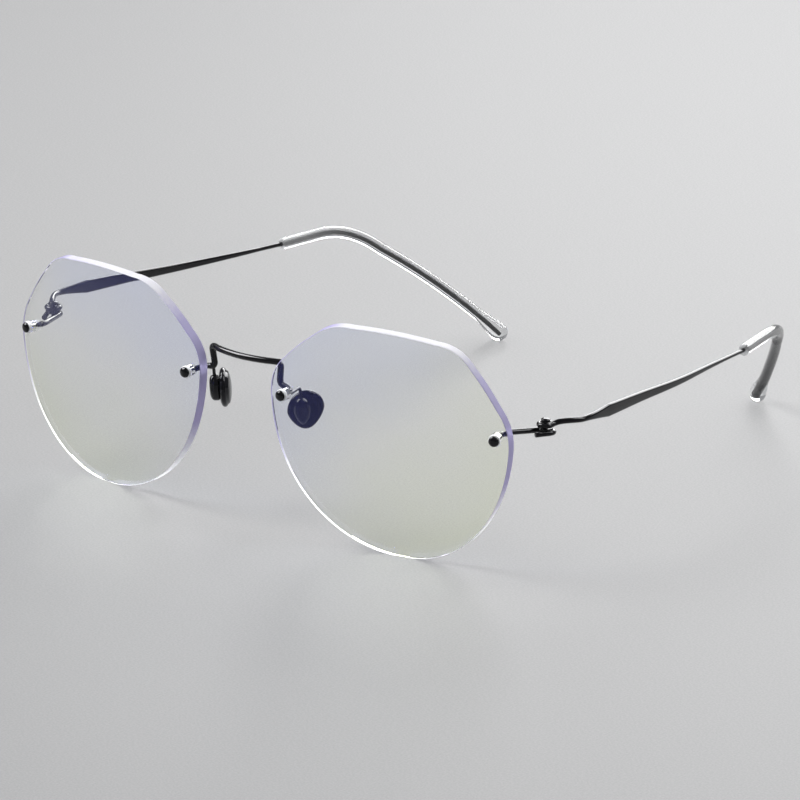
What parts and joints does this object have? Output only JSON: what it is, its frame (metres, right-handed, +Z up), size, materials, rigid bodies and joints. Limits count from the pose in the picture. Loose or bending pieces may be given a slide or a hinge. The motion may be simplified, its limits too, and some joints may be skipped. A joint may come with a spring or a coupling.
{
  "type": "eyeglasses",
  "caption": "Rimless eyeglasses with large clear lenses with cut top corners, a bent black wire bridge, small nose pads, wire hinges, thin folding temples and clear temple tips.",
  "frame": {"origin": "centre of the bounding box's bottom face, on the surface that the lower lens edges and the temple tips stand on", "axes": "+X to the wearer's left, +Y from the lenses back towards the ears, +Z up; the lenses face -Y"},
  "size_m": [0.138, 0.147, 0.0484],
  "materials": {
    "lens": "clear, polished, with a faint blue and green anti-reflection coating",
    "titanium": "glossy black plated titanium wire",
    "clear_plastic": "clear glossy plastic",
    "clear_silicone": "clear smooth silicone",
    "pad_black": "glossy black plastic"
  },
  "bodies": {
    "front": {"left_lens": "lens", "right_lens": "lens", "left_nasal_mount_cap": "titanium", "left_nasal_mount_bushing": "clear_plastic", "left_nasal_mount_washer": "clear_plastic", "left_temporal_mount_cap": "titanium", "left_temporal_mount_bushing": "clear_plastic", "left_temporal_mount_washer": "clear_plastic", "right_nasal_mount_cap": "titanium", "right_nasal_mount_bushing": "clear_plastic", "right_nasal_mount_washer": "clear_plastic", "right_temporal_mount_cap": "titanium", "right_temporal_mount_bushing": "clear_plastic", "right_temporal_mount_washer": "clear_plastic", "bridge": "titanium", "left_endpiece": "titanium", "right_endpiece": "titanium", "left_hinge_pin": "titanium", "right_hinge_pin": "titanium", "left_hinge_spacer": "titanium", "right_hinge_spacer": "titanium", "left_hinge_washer": "titanium", "right_hinge_washer": "titanium", "left_pad_arm": "titanium", "right_pad_arm": "titanium"},
    "left_temple_arm": {"left_temple": "titanium", "left_temple_tip": "clear_silicone"},
    "right_temple_arm": {"right_temple": "titanium", "right_temple_tip": "clear_silicone"},
    "left_pad": {"left_nose_pad": "pad_black", "left_pad_box": "titanium"},
    "right_pad": {"right_nose_pad": "pad_black", "right_pad_box": "titanium"}
  },
  "joints": [
    {"name": "left_temple_fold", "type": "hinge", "parent": "front", "child": "left_temple_arm", "pos_m": [0.0636, -0.05133, 0.0298], "axis": [0, 0, 1], "range_deg": [0, 80]},
    {"name": "right_temple_fold", "type": "hinge", "parent": "front", "child": "right_temple_arm", "pos_m": [-0.0636, -0.05133, 0.0298], "axis": [0, 0, -1], "range_deg": [0, 68]},
    {"name": "left_pad_swivel", "type": "hinge", "parent": "front", "child": "left_pad", "pos_m": [0.01159, -0.06316, 0.0248], "axis": [0, -0.1564, 0.9877], "range_deg": [-12, 12]},
    {"name": "right_pad_swivel", "type": "hinge", "parent": "front", "child": "right_pad", "pos_m": [-0.01159, -0.06316, 0.0248], "axis": [0, -0.1564, 0.9877], "range_deg": [-12, 12]}
  ]
}
